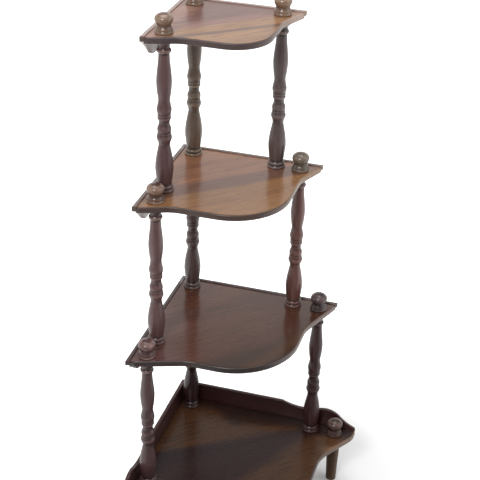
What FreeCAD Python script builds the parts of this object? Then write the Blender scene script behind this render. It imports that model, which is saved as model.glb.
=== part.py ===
import FreeCAD, Part
import math
import os

from FreeCAD import Vector

# A four-tier corner shelf of stained wood: quarter-round shelves with a serpentine front,
# joined by turned posts, with turned finials, back rails, a shaped gallery and tapered legs.
# Everything is drawn in the corner's own axes and turned to face the room at the end:
# X runs out along the left wall, Y along the right wall, Z is up from the floor, in millimetres.

# Heights
tier_pitch = 290.0
shelf_thickness = 12.0
leg_length = 103.0

# How far the top shelf reaches along the wall, and how much farther each one does than the one above
top_tip = 226.0
second_step = 47.0
third_step = 46.0
bottom_step = 55.0

# How far the flat part of each shelf's front stands back from the tip
top_setback = 24.0
second_setback = 26.0
third_setback = 38.5
bottom_setback = 47.0

# Plan of the shelves, from the top one down.
# Bow: radius of the round middle of the front. Taper: how fast the end narrows towards the tip.
# Hollow: radius of the inward curve between the end and the flat part.
shelf_names = ("top", "second", "third", "bottom")
shelf_steps = (top_tip, second_step, third_step, bottom_step)
shelf_setbacks = (top_setback, second_setback, third_setback, bottom_setback)
shelf_bows = (68.0, 106.0, 125.0, 145.0)
shelf_tapers = (0.38, 0.40, 0.37, 0.60)
shelf_hollows = (60.0, 60.0, 85.0, 90.0)
edge_round = 3.0

# The bottom shelf ends in a round ear in place of a point
ear_radius = 45.0
ear_centre = 14.0

# Where the turnings stand: distance back from the tip for each shelf, and distance from the wall
tip_margins = (36.0, 37.0, 32.0, 37.0)
post_inset = 30.0

# Boards on the back edges
board_thickness = 7.0
board_lip = 2.0
rail_depth = 44.0
rail_end_height = 9.0

# The rail's end is cut up to the tip in a hollow, after a round at its lower edge
rail_cut_length = 51.0
rail_round_length = 12.0
rail_round_height = 5.5

# Gallery of the bottom shelf; lengths are taken back from the tip along the wall
gallery_height = 37.0
gallery_tail = 34.5
gallery_tail_height = 25.5
gallery_tail_sag = 2.3
gallery_lobe = 61.0
gallery_lobe_height = 36.3
gallery_lobe_start = 76.0
gallery_lobe_start_height = 34.0
gallery_dip = 113.0
gallery_dip_height = 28.3
gallery_shoulder = 155.0

# Turned post, from its foot up: heights of the elements and their radii
foot_radius = 16.5
foot_face_radius = 15.6
foot_height = 6.4
foot_groove_radius = 14.4
ring_radius = 15.1
ring_height = 7.2
bulb_height = 83.9
bulb_foot_radius = 12.8
bulb_radius = 16.2
bulb_neck_radius = 10.2
bead_foot_radius = 12.2
bead_radius = 13.5
bead_height = 9.9
fillet_radius = 12.1
fillet_height = 3.4
fillet_bevel = 1.4
groove_radius = 11.4
swell_radius = 12.3
swell_height = 10.3
swell_top_radius = 11.3
cove_radius = 9.5
cove_height = 13.3
collar_foot_radius = 11.0
collar_radius = 11.9
collar_height = 5.3
collar_groove_radius = 11.1
tulip_foot_radius = 11.4
tulip_radius = 13.0
tulip_height = 23.9
vase_neck_radius = 10.4
vase_radius = 13.5
vase_top_radius = 9.5
top_bead_foot_radius = 10.8
top_bead_radius = 12.5
top_bead_height = 7.0
top_cove_radius = 10.1
top_cove_height = 9.0
flange_foot_radius = 11.6
flange_radius = 12.9
flange_height = 5.5

# Rise and fall of the long turned curves: share of the length, then share of the swell
bulb_rise = ((0.17, 0.55), (0.37, 1.0))
bulb_fall = ((0.60, 0.72), (0.81, 0.18), (0.89, 0.0))
tulip_rise = (0.33, 1.0)
tulip_fall = (0.64, 0.50)
vase_rise = ((0.17, 0.56), (0.40, 1.0))
vase_fall = ((0.60, 0.70), (0.82, 0.20))

# Turned finial, from its foot up
finial_face_radius = 14.8
finial_foot_radius = 16.0
finial_foot_height = 5.2
finial_bell_radius = 15.0
finial_bell_height = 8.4
finial_neck_radius = 12.2
knob_radius = 15.8
knob_under_height = 10.8
knob_dome_height = 10.3

# Bell and knob: share of the height, then share of the swell
bell_fall = ((0.45, 0.70), (0.80, 0.15))
knob_rise = ((0.25, 0.15), (0.55, 0.68), (0.80, 0.94))

# Tapered leg
leg_top_radius = 13.6
leg_foot_radius = 10.2
leg_foot_round = 1.0

# Fasteners
hole_clearance = 0.15
stud_radius = 3.0
stud_in_finial = 20.0
stud_in_post = 30.0
screw_radius = 2.0
screw_length = 38.0
screw_head_radius = 4.0
screw_head_height = 2.5
pin_radius = 0.8
pin_length = 22.0
pins_per_board = 3
pin_end_distance = 55.0

# Values that follow from the ones above
shelf_tips = [sum(shelf_steps[:count]) for count in range(1, len(shelf_steps) + 1)]
shelf_waists = [tip - setback for tip, setback in zip(shelf_tips, shelf_setbacks)]
shelf_tops = [leg_length + shelf_thickness + tier_pitch * step for step in reversed(range(len(shelf_names)))]
post_reaches = [tip - margin for tip, margin in zip(shelf_tips, tip_margins)]
post_length = tier_pitch - shelf_thickness
half_root = math.sqrt(0.5)
bottom_diagonal = shelf_waists[-1] - shelf_bows[-1] * (1.0 - half_root)
overall_depth = bottom_diagonal / half_root
facing_turn = 225.0
up = Vector(0, 0, 1)
floor_point = Vector(0, 0, 0)


def at(x, y, z=0.0):
    """A point in the corner's axes."""
    return Vector(x, y, z)


def swapped(shape):
    """The same piece on the other wall: mirrored in the upright plane that halves the corner."""
    return shape.mirror(floor_point, Vector(1, -1, 0))


def save(name, shape):
    """Turn a piece to face the room, centre it over the floor and write it."""
    placed = shape.copy()
    placed.rotate(floor_point, up, facing_turn)
    placed.translate(Vector(0, overall_depth / 2.0, 0))
    placed.exportStep("parts/" + name + ".step")


# Shelf outlines

def front_line(index, start):
    """Edges of a shelf's front, from its end on the right wall to the line that halves the corner.

    The end tapers in a straight line from the tip, curves inward, runs level with the wall
    and goes over into the round bow. The bottom shelf's end is a round ear before the taper.
    """
    tip = shelf_tips[index]
    waist = shelf_waists[index]
    bow = shelf_bows[index]
    hollow = shelf_hollows[index]
    slope = math.atan(shelf_tapers[index])
    edges = []
    if index == len(shelf_tips) - 1:
        centre = tip - math.sqrt(ear_radius ** 2 - ear_centre ** 2)
        first = at(start, centre + math.sqrt(ear_radius ** 2 - (ear_centre - start) ** 2))
        outermost = at(ear_centre, centre + ear_radius)
        taper_start = at(ear_centre + ear_radius * math.sin(slope), centre + ear_radius * math.cos(slope))
        edges.append(Part.Arc(first, outermost, taper_start).toShape())
    else:
        taper_start = at(start, tip - start * math.tan(slope))
    corner = taper_start.x + (taper_start.y - waist) / math.tan(slope)
    tangent = hollow * math.tan(slope / 2.0)
    hollow_centre = at(corner + tangent, waist + hollow)
    hollow_start = hollow_centre - at(hollow * math.sin(slope), hollow * math.cos(slope))
    hollow_middle = hollow_centre - at(hollow * math.sin(slope / 2.0), hollow * math.cos(slope / 2.0))
    hollow_end = at(corner + tangent, waist)
    bow_start = at(waist - bow, waist)
    bow_middle = at(waist - bow + bow * math.sin(math.pi / 8.0), waist - bow + bow * math.cos(math.pi / 8.0))
    bow_end = at(waist - bow + bow * half_root, waist - bow + bow * half_root)
    edges.append(Part.makeLine(taper_start, hollow_start))
    edges.append(Part.Arc(hollow_start, hollow_middle, hollow_end).toShape())
    edges.append(Part.makeLine(hollow_end, bow_start))
    edges.append(Part.Arc(bow_start, bow_middle, bow_end).toShape())
    return edges


def plan_face(index, start):
    """The flat outline of a shelf whose back edges stand off the walls by the given distance."""
    right_half = front_line(index, start)
    left_half = [swapped(edge) for edge in right_half]
    right_end = right_half[0].Vertexes[0].Point
    left_end = at(right_end.y, right_end.x)
    back_edges = [Part.makeLine(left_end, at(start, start)), Part.makeLine(at(start, start), right_end)]
    ordered = Part.sortEdges(right_half + left_half + back_edges)[0]
    return Part.Face(Part.Wire(ordered))


def stud_spots(index):
    """Plan places of the studs of a shelf: left end, right end and back corner."""
    reach = post_reaches[index]
    return [at(reach, post_inset), at(post_inset, reach), at(post_inset, post_inset)]


def foot_spots(index):
    """Plan places of the two front posts that stand on a shelf, inside its own turnings."""
    if index == 0:
        return []
    reach = post_reaches[index - 1]
    return [at(reach, post_inset), at(post_inset, reach)]


def pin_positions(index):
    """Distances along the wall of the pins that hold one back board."""
    last = shelf_tips[index] - pin_end_distance
    step = (last - pin_end_distance) / (pins_per_board - 1)
    return [pin_end_distance + step * number for number in range(pins_per_board)]


def pin(index, distance, radius, length):
    """One pin, or its hole, driven square through the right wall's board into the shelf edge."""
    height = shelf_tops[index] - shelf_thickness / 2.0
    return Part.makeCylinder(radius, length, at(0, distance, height), Vector(1, 0, 0))


def wood_screw(spot, underside, slack):
    """A countersunk screw driven upwards from a shelf's underside, or its hole with some slack."""
    base = at(spot.x, spot.y, underside)
    head = Part.makeCone(screw_head_radius + slack, screw_radius + slack, screw_head_height, base)
    shank = Part.makeCylinder(screw_radius + slack, screw_length + slack, base)
    return head.fuse(shank).removeSplitter()


def shelf(index):
    """One shelf board with its rounded front edge and the holes for its fasteners."""
    top = shelf_tops[index]
    underside = top - shelf_thickness
    board = plan_face(index, board_thickness).extrude(Vector(0, 0, shelf_thickness))
    board.translate(Vector(0, 0, underside))
    board = board.makeFillet(edge_round, front_rims(board))
    holes = []
    for spot in stud_spots(index):
        hole_base = at(spot.x, spot.y, underside)
        holes.append(Part.makeCylinder(stud_radius + hole_clearance, shelf_thickness, hole_base))
    for spot in foot_spots(index):
        holes.append(wood_screw(spot, underside, hole_clearance))
    for distance in pin_positions(index):
        hole = pin(index, distance, pin_radius + hole_clearance, pin_length + hole_clearance)
        holes.extend([hole, swapped(hole)])
    return board.cut(holes)


def front_rims(board):
    """Top and bottom edges of a board's front: every level edge that doesn't lie on a back edge."""
    rims = []
    for edge in board.Edges:
        box = edge.BoundBox
        level = box.ZLength < edge_round / 2.0
        on_back = min(box.XMax, box.YMax) < board_thickness + edge_round / 2.0
        if level and not on_back:
            rims.append(edge)
    return rims


# Boards on the back edges

def bowed(start, end, rise):
    """An arc from start to end whose middle stands off the straight line by the rise."""
    along = end - start
    across = Vector(along.x, -along.z, along.y).normalize()
    middle = (start + end) * 0.5 + across * rise
    return Part.Arc(start, middle, end).toShape()


def cut_end(tip_point, turn, foot):
    """The cut end of a rail: a hollow from the tip that goes over into a round, level at its foot."""
    upper = tip_point - turn
    lower = turn - foot
    upper_tilt = math.atan2(upper.z, upper.y)
    lower_tilt = math.atan2(lower.z, lower.y)
    hollow = upper.Length / 2.0 * math.tan(lower_tilt - upper_tilt / 2.0)
    rounding = lower.Length / 2.0 * math.tan(lower_tilt / 2.0)
    return [bowed(tip_point, turn, -hollow), bowed(turn, foot, rounding)]


def board_from(outline, index):
    """A board of the right wall from its side outline, mitred at the corner, its end cut to the shelf."""
    face = Part.Face(Part.Wire(Part.sortEdges(outline)[0]))
    board = face.extrude(Vector(board_thickness, 0, 0))
    height = board.BoundBox.ZLength
    low = board.BoundBox.ZMin
    reach = shelf_tips[index] + ear_radius
    cutter_points = [at(0, 0, low), at(reach, reach, low), at(0, reach, low), at(0, 0, low)]
    right_side = Part.Face(Part.makePolygon(cutter_points)).extrude(Vector(0, 0, height))
    shelf_column = plan_face(index, 0.0).extrude(Vector(0, 0, height))
    shelf_column.translate(Vector(0, 0, low))
    board = board.common(right_side).common(shelf_column)
    hole_radius = pin_radius + hole_clearance
    holes = [pin(index, distance, hole_radius, pin_length) for distance in pin_positions(index)]
    return board.cut(holes)


def rail(index):
    """A back rail that hangs below its shelf, its end cut up to the tip in a double curve."""
    top = shelf_tops[index] + board_lip
    bottom = shelf_tops[index] - rail_depth
    tip = shelf_tips[index]
    tip_point = at(0, tip, top - rail_end_height)
    foot = at(0, tip - rail_cut_length, bottom)
    turn = foot + at(0, rail_round_length, rail_round_height)
    outline = cut_end(tip_point, turn, foot) + [
        Part.makeLine(at(0, 0, bottom), at(0, 0, top)),
        Part.makeLine(at(0, 0, top), at(0, tip, top)),
        Part.makeLine(at(0, tip, top), tip_point),
        Part.makeLine(foot, at(0, 0, bottom)),
    ]
    return board_from(outline, index)


def gallery():
    """The raised back board of the bottom shelf, level at the corner, then a dip, a lobe and a tail."""
    index = len(shelf_tips) - 1
    base = shelf_tops[index]
    tip = shelf_tips[index]
    bottom = base - shelf_thickness
    level = at(0, 0, base + gallery_height)
    shoulder = at(0, tip - gallery_shoulder, base + gallery_height)
    dip = at(0, tip - gallery_dip, base + gallery_dip_height)
    lobe_start = at(0, tip - gallery_lobe_start, base + gallery_lobe_start_height)
    lobe = at(0, tip - gallery_lobe, base + gallery_lobe_height)
    tail_start = at(0, tip - gallery_tail, base + gallery_tail_height)
    tail_end = at(0, tip, base + board_lip)
    outline = [
        Part.makeLine(at(0, 0, bottom), level),
        Part.makeLine(level, shoulder),
        Part.Arc(shoulder, dip, lobe_start).toShape(),
        Part.Arc(lobe_start, lobe, tail_start).toShape(),
        bowed(tail_start, tail_end, -gallery_tail_sag),
        Part.makeLine(tail_end, at(0, tip, bottom)),
        Part.makeLine(at(0, tip, bottom), at(0, 0, bottom)),
    ]
    return board_from(outline, index)


# Turned pieces: a point of an outline is a radius and a height

def turned(edges):
    """A solid of revolution about the upright axis from an outline that starts and ends on it."""
    first = edges[0].Vertexes[0].Point
    last = edges[-1].Vertexes[-1].Point
    outline = edges + [Part.makeLine(last, first)]
    face = Part.Face(Part.Wire(Part.sortEdges(outline)[0]))
    return face.revolve(floor_point, up, 360)


def line(first, last):
    """A straight stretch between two points."""
    return Part.makeLine(at(first[0], 0, first[1]), at(last[0], 0, last[1]))


def bead(first, last, radius):
    """A round bead or a hollow: the arc between two points that has the radius at half height."""
    middle = at(radius, 0, (first[1] + last[1]) / 2.0)
    return Part.Arc(at(first[0], 0, first[1]), middle, at(last[0], 0, last[1])).toShape()


def curve(points):
    """A smooth curve through the points."""
    spline = Part.BSplineCurve()
    spline.interpolate([at(radius, 0, height) for radius, height in points])
    return spline.toShape()


def dome(rim, rise):
    """A dome from its rim, where it stands upright, to the axis, where it runs level."""
    shoulder = at(rim[0] * half_root, 0, rim[1] + rise * half_root)
    crown = at(0, 0, rim[1] + rise)
    spline = Part.BSplineCurve()
    points = [at(rim[0], 0, rim[1]), shoulder, crown]
    spline.interpolate(Points=points, InitialTangent=Vector(0, 0, rise), FinalTangent=Vector(-rim[0], 0, 0))
    return spline.toShape()


def along(foot, length, slim, full, shares):
    """Points of a long curve, each from its share of the length and of the swell from slim to full."""
    return [(slim + (full - slim) * swell, foot + length * height) for height, swell in shares]


def post_body():
    """The turned post: two foot rings, a long bulb, beads, a collar, a tulip, a slim vase and a flange."""
    ring_base = foot_height
    bulb_base = ring_base + ring_height
    bead_base = bulb_base + bulb_height
    fillet_base = bead_base + bead_height
    swell_base = fillet_base + fillet_height + fillet_bevel
    cove_base = swell_base + swell_height
    collar_base = cove_base + cove_height
    tulip_base = collar_base + 2.0 * collar_height
    vase_base = tulip_base + tulip_height
    flange_base = post_length - flange_height
    top_cove_base = flange_base - top_cove_height
    top_bead_base = top_cove_base - top_bead_height
    vase_length = top_bead_base - vase_base

    foot_groove = (foot_groove_radius, ring_base)
    bulb_foot = (bulb_foot_radius, bulb_base)
    bulb_swell = along(bulb_base, bulb_height, bulb_foot_radius, bulb_radius, bulb_rise)
    bulb_taper = along(bulb_base, bulb_height, bulb_neck_radius, bulb_radius, bulb_fall)
    bead_foot = (bead_foot_radius, bead_base)
    fillet_foot = (fillet_radius, fillet_base)
    fillet_top = (fillet_radius, fillet_base + fillet_height)
    groove = (groove_radius, swell_base)
    swell_top = (swell_top_radius, cove_base)
    collar_foot = (collar_foot_radius, collar_base)
    collar_groove = (collar_groove_radius, collar_base + collar_height)
    tulip_foot = (tulip_foot_radius, tulip_base)
    tulip_swell = along(tulip_base, tulip_height, tulip_foot_radius, tulip_radius, [tulip_rise])
    tulip_taper = along(tulip_base, tulip_height, vase_neck_radius, tulip_radius, [tulip_fall])
    vase_neck = (vase_neck_radius, vase_base)
    vase_swell = along(vase_base, vase_length, vase_neck_radius, vase_radius, vase_rise)
    vase_taper = along(vase_base, vase_length, vase_top_radius, vase_radius, vase_fall)
    vase_top = (vase_top_radius, top_bead_base)
    top_bead_foot = (top_bead_foot_radius, top_bead_base)
    top_bead_end = (top_bead_foot_radius, top_cove_base)
    flange_foot = (flange_foot_radius, flange_base)
    flange_top = (flange_foot_radius, post_length)
    return turned([
        line((0, 0), (foot_face_radius, 0)),
        bead((foot_face_radius, 0), foot_groove, foot_radius),
        bead(foot_groove, bulb_foot, ring_radius),
        curve([bulb_foot] + bulb_swell + bulb_taper + [bead_foot]),
        bead(bead_foot, fillet_foot, bead_radius),
        line(fillet_foot, fillet_top),
        line(fillet_top, groove),
        bead(groove, swell_top, swell_radius),
        bead(swell_top, collar_foot, cove_radius),
        bead(collar_foot, collar_groove, collar_radius),
        bead(collar_groove, tulip_foot, collar_radius),
        curve([tulip_foot] + tulip_swell + tulip_taper + [vase_neck] + vase_swell + vase_taper + [vase_top]),
        line(vase_top, top_bead_foot),
        bead(top_bead_foot, top_bead_end, top_bead_radius),
        bead(top_bead_end, flange_foot, top_cove_radius),
        bead(flange_foot, flange_top, flange_radius),
        line(flange_top, (0, post_length)),
    ])


def finial_body():
    """The turned finial: a rounded foot, a bell, a short neck and a flattened knob with a domed top."""
    neck_height = finial_foot_height + finial_bell_height
    rim_height = neck_height + knob_under_height
    bell_foot = (finial_bell_radius, finial_foot_height)
    neck = (finial_neck_radius, neck_height)
    rim = (knob_radius, rim_height)
    slim = finial_neck_radius
    bell = along(finial_foot_height, finial_bell_height, slim, finial_bell_radius, bell_fall)
    knob = along(neck_height, knob_under_height, slim, knob_radius, knob_rise)
    return turned([
        line((0, 0), (finial_face_radius, 0)),
        bead((finial_face_radius, 0), bell_foot, finial_foot_radius),
        curve([bell_foot] + bell + [neck] + knob + [rim]),
        dome(rim, knob_dome_height),
    ])


def leg_body():
    """The tapered leg, widest under the shelf, with a softened edge at the floor."""
    return turned([
        line((0, 0), (leg_foot_radius - leg_foot_round, 0)),
        line((leg_foot_radius - leg_foot_round, 0), (leg_foot_radius, leg_foot_round)),
        line((leg_foot_radius, leg_foot_round), (leg_top_radius, leg_length)),
        line((leg_top_radius, leg_length), (0, leg_length)),
    ])


def bored(body, spot, base, holes):
    """A turned piece stood at its place, with its holes given as bottom height, radius and depth."""
    placed = body.copy()
    placed.translate(at(spot.x, spot.y, base))
    cutters = []
    for bottom, radius, depth in holes:
        cutters.append(Part.makeCylinder(radius + hole_clearance, depth, at(spot.x, spot.y, base + bottom)))
    return placed.cut(cutters)


# The pieces

def make_shelves():
    """The four boards."""
    for index, name in enumerate(shelf_names):
        save(name + "_shelf", shelf(index))


def make_back_boards():
    """Six rails under the upper shelves and the two gallery boards of the bottom shelf."""
    for index, name in enumerate(shelf_names[:-1]):
        right = rail(index)
        save(name + "_right_rail", right)
        save(name + "_left_rail", swapped(right))
    right = gallery()
    save("bottom_right_gallery", right)
    save("bottom_left_gallery", swapped(right))


def make_posts():
    """Nine posts: left, right and back under each of the upper three shelves."""
    body = post_body()
    top_hole = (post_length - stud_in_post, stud_radius, stud_in_post)
    stud_hole = (0, stud_radius, stud_in_finial)
    screw_hole = (0, screw_radius, screw_length - shelf_thickness)
    for index, name in enumerate(shelf_names[:-1]):
        base = shelf_tops[index + 1]
        left, right, back = stud_spots(index)
        save(name + "_tier_left_post", bored(body, left, base, [screw_hole, top_hole]))
        save(name + "_tier_right_post", bored(body, right, base, [screw_hole, top_hole]))
        save(name + "_tier_back_post", bored(body, back, base, [stud_hole, top_hole]))


def make_finials():
    """Nine finials: three on the top shelf, one at each outer end of the others."""
    body = finial_body()
    hole = (0, stud_radius, stud_in_finial)
    for index, name in enumerate(shelf_names):
        base = shelf_tops[index]
        left, right, back = stud_spots(index)
        save(name + "_left_finial", bored(body, left, base, [hole]))
        save(name + "_right_finial", bored(body, right, base, [hole]))
        if index == 0:
            save(name + "_back_finial", bored(body, back, base, [hole]))


def make_legs():
    """Three legs under the bottom shelf."""
    body = leg_body()
    hole = (leg_length - stud_in_post, stud_radius, stud_in_post)
    for side, spot in zip(("left", "right", "back"), stud_spots(len(shelf_tips) - 1)):
        save(side + "_leg", bored(body, spot, 0, [hole]))


def make_fasteners():
    """Double-ended screws through each shelf, foot screws from below and the pins of the boards."""
    stud_length = stud_in_finial + shelf_thickness + stud_in_post
    for index, name in enumerate(shelf_names):
        underside = shelf_tops[index] - shelf_thickness
        studs = []
        for spot in stud_spots(index):
            base = at(spot.x, spot.y, underside - stud_in_post)
            studs.append(Part.makeCylinder(stud_radius, stud_length, base))
        save(name + "_shelf_double_ended_screws", Part.makeCompound(studs))
        screws = [wood_screw(spot, underside, 0.0) for spot in foot_spots(index)]
        if screws:
            save(name + "_shelf_foot_screws", Part.makeCompound(screws))
        pins = []
        for distance in pin_positions(index):
            one = pin(index, distance, pin_radius, pin_length)
            pins.extend([one, swapped(one)])
        save(name + "_shelf_board_pins", Part.makeCompound(pins))


os.makedirs("parts", exist_ok=True)
make_shelves()
make_back_boards()
make_posts()
make_finials()
make_legs()
make_fasteners()
print("overall depth", round(overall_depth, 2))
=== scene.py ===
import math

import bpy
import numpy as np
from mathutils import Matrix, Vector


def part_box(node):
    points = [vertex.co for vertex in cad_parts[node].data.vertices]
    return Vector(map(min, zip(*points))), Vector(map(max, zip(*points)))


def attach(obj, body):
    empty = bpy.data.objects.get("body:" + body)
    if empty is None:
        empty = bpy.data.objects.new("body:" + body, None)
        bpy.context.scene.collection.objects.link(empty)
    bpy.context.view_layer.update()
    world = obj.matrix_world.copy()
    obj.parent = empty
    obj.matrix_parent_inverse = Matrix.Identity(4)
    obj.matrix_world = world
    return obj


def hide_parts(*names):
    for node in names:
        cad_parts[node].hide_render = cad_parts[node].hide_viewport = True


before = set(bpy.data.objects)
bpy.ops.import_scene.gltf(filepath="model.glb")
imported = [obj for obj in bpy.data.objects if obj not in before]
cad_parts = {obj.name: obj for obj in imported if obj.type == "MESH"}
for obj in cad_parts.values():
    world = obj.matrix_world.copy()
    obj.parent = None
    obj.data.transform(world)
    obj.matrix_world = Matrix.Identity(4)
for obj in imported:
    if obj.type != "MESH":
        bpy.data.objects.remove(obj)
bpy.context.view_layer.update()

# The looks of a four-tier corner shelf of dark stained wood. Shapes are worked out in millimetres
# in the corner's own plan axes (along the left wall, along the right wall) and turned into the
# row's frame when a mesh is made.

MM = 0.001
HALF_ROOT = math.sqrt(0.5)
WALL_SLANT = math.pi / 4.0

TIERS = ("top", "second", "third", "bottom")
SIDES = ("left", "right")

# Plan of the shelves, from the top one down, as the solids have it
TIPS = (226.0, 273.0, 319.0, 374.0)
WAISTS = (202.0, 247.0, 280.5, 327.0)
BOWS = (68.0, 106.0, 125.0, 145.0)
TAPERS = (0.38, 0.40, 0.37, 0.60)
HOLLOWS = (60.0, 60.0, 85.0, 90.0)
EAR_RADIUS = 45.0
EAR_CENTRE = 14.0

# The corner of the walls lies this far behind the row's origin, which is half way from the corner to
# the bow of the bottom shelf
BOW_PLACE = WAISTS[-1] - BOWS[-1] * (1.0 - HALF_ROOT)
CORNER = BOW_PLACE / HALF_ROOT / 2.0

# Thickness of the rails and galleries, and how far they stand above the shelf at its tip
BOARD_THICKNESS = 7.0
BOARD_LIP = 2.0

# Roundings of the arrises, the width of the flat rim inside them, how far the last point of a shelf's
# wall edge stays from its tip, and how far round the end of a rail or gallery is turned
FRONT_ROUNDING = 3.0
BACK_ROUNDING = 0.4
RAIL_ROUNDING = 0.7
GALLERY_ROUNDING = 0.9
ARRIS_MARGIN = 0.8
TIP_CLEARANCE = 6.0
END_TURN = math.radians(80.0)

# Outer ends of the rails: how far the cut reaches in from the tip, the length and height of its
# rounding at the lower edge, and what is left of the rail at the tip
RAIL_CUT_LENGTH = 51.0
RAIL_ROUND_LENGTH = 12.0
RAIL_ROUND_HEIGHT = 5.5
RAIL_END_HEIGHT = 9.0

# Upper edge of the galleries: how far in from the tip and how high above the shelf its marks lie
GALLERY_SHOULDER = (155.0, 37.0)
GALLERY_DIP = (113.0, 28.3)
GALLERY_LOBE_START = (76.0, 34.0)
GALLERY_LOBE = (61.0, 36.3)
GALLERY_TAIL = (34.5, 25.5)
GALLERY_TAIL_SAG = 2.3

# Turned post, from its foot up: radii and heights of its elements
FOOT_FACE_RADIUS = 15.6
FOOT_RADIUS = 16.5
FOOT_HEIGHT = 6.4
FOOT_GROOVE_RADIUS = 14.4
RING_RADIUS = 15.1
RING_HEIGHT = 7.2
BULB_FOOT_RADIUS = 12.8
BULB_RADIUS = 16.2
BULB_NECK_RADIUS = 10.2
BULB_HEIGHT = 83.9
BEAD_FOOT_RADIUS = 12.2
BEAD_RADIUS = 13.5
BEAD_HEIGHT = 9.9
FILLET_RADIUS = 12.1
FILLET_HEIGHT = 3.4
FILLET_BEVEL = 1.4
GROOVE_RADIUS = 11.4
SWELL_RADIUS = 12.3
SWELL_TOP_RADIUS = 11.3
SWELL_HEIGHT = 10.3
COVE_RADIUS = 9.5
COVE_HEIGHT = 13.3
COLLAR_FOOT_RADIUS = 11.0
COLLAR_RADIUS = 11.9
COLLAR_GROOVE_RADIUS = 11.1
COLLAR_HEIGHT = 5.3
TULIP_FOOT_RADIUS = 11.4
TULIP_RADIUS = 13.0
TULIP_HEIGHT = 23.9
VASE_NECK_RADIUS = 10.4
VASE_RADIUS = 13.5
VASE_TOP_RADIUS = 9.5
TOP_BEAD_FOOT_RADIUS = 10.8
TOP_BEAD_RADIUS = 12.5
TOP_BEAD_HEIGHT = 7.0
TOP_COVE_RADIUS = 10.1
TOP_COVE_HEIGHT = 9.0
FLANGE_FOOT_RADIUS = 11.6
FLANGE_RADIUS = 12.9
FLANGE_HEIGHT = 5.5

# Rise and fall of the long turned curves: share of the length, then share of the swell
BULB_RISE = ((0.17, 0.55), (0.37, 1.0))
BULB_FALL = ((0.60, 0.72), (0.81, 0.18), (0.89, 0.0))
TULIP_RISE = ((0.33, 1.0),)
TULIP_FALL = ((0.64, 0.50), (1.0, 0.0))
VASE_RISE = ((0.17, 0.56), (0.40, 1.0))
VASE_FALL = ((0.60, 0.70), (0.82, 0.20), (1.0, 0.0))

# Turned finial, from its foot up
FINIAL_FACE_RADIUS = 14.8
FINIAL_FOOT_RADIUS = 16.0
FINIAL_FOOT_HEIGHT = 5.2
FINIAL_BELL_RADIUS = 15.0
FINIAL_BELL_HEIGHT = 8.4
FINIAL_NECK_RADIUS = 12.2
KNOB_RADIUS = 15.8
KNOB_UNDER_HEIGHT = 10.8
KNOB_DOME_HEIGHT = 10.3
BELL_FALL = ((0.45, 0.70), (0.80, 0.15), (1.0, 0.0))
KNOB_RISE = ((0.25, 0.15), (0.55, 0.68), (0.80, 0.94), (1.0, 1.0))

# Within this radius a turned piece closes to its axis
CLOSING_RADIUS = 5.0

# A crest stands out of the radius averaged over this height, taken in these steps
CREST_SPAN = 8.0
CREST_STEP = 0.5

# Points round a turned piece
TURNED_POINTS = 56

# Tapered leg
LEG_TOP_RADIUS = 13.6
LEG_FOOT_RADIUS = 10.2
LEG_FOOT_ROUND = 1.0

# The photograph's camera: angles in degrees, its focal length and image in pixels, its film in
# millimetres, and its place in metres from the walls' corner on the bottom shelf
CAMERA_YAW = 29.13
CAMERA_PITCH = 29.18
CAMERA_ROLL = 1.73
CAMERA_PLACE = (-0.9437, -1.9246, 1.5721)
FOCAL_PIXELS = 1241.05
IMAGE_PIXELS = 480.0
FILM_WIDTH = 36.0

# The room, in metres: the floor's half width, where its glow is centred, from how near to how far off
# it grows for the camera and in reflections, and which way and how sharply reflections of it dim
FLOOR_REACH = 6.0
GLOW_CENTRE = (0.2, -0.05)
GLOW_SEEN = (0.1, 0.6)
GLOW_REFLECTED = (0.25, 1.0)
DIM_SIDE = (-0.44, -0.9)
DIM_FADE = (0.45, 0.9)

# The surroundings, by the height and depth of a direction: where the backdrop fades upwards and
# towards the camera, and where the ceiling begins
BACKDROP_TOP = (0.60, 0.47)
BACKDROP_FRONT = (-0.2, 0.3)
CEILING = (0.74, 0.9)
AROUND_LEVEL = 0.62

# No turn or shift, no change of scale, no light and full light
STILL = (0.0, 0.0, 0.0)
UNSCALED = (1.0, 1.0, 1.0)
BLACK = (0.0, 0.0, 0.0)
WHITE = (1.0, 1.0, 1.0)


# Plan outlines

def arc(first, middle, last, count):
    """Points on the circle through three points, evenly spaced by angle from the first to the last.

    The centre is where the upright bisectors of the two chords cross. Three points in a line have
    none, and give points on the line.
    """
    a, b, c = (np.array(p, float) for p in (first, middle, last))
    d = 2.0 * (a[0] * (b[1] - c[1]) + b[0] * (c[1] - a[1]) + c[0] * (a[1] - b[1]))
    if abs(d) < 1e-9:
        return a + (c - a) * np.linspace(0.0, 1.0, count)[:, None]
    squares = np.array([a @ a, b @ b, c @ c])
    x = squares @ np.array([b[1] - c[1], c[1] - a[1], a[1] - b[1]]) / d
    y = squares @ np.array([c[0] - b[0], a[0] - c[0], b[0] - a[0]]) / d
    centre = np.array([x, y])
    angles = np.arctan2(*(np.array([a, b, c]) - centre).T[::-1])
    middle_turn = (angles[1] - angles[0]) % (2.0 * math.pi)
    whole_turn = (angles[2] - angles[0]) % (2.0 * math.pi)
    if middle_turn > whole_turn:
        whole_turn -= 2.0 * math.pi
    turn = angles[0] + whole_turn * np.linspace(0.0, 1.0, count)
    return centre + np.linalg.norm(a - centre) * np.column_stack([np.cos(turn), np.sin(turn)])


def straight(first, last, count):
    """Points evenly spaced from the first to the last."""
    return np.array(first) + (np.array(last) - np.array(first)) * np.linspace(0.0, 1.0, count)[:, None]


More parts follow.
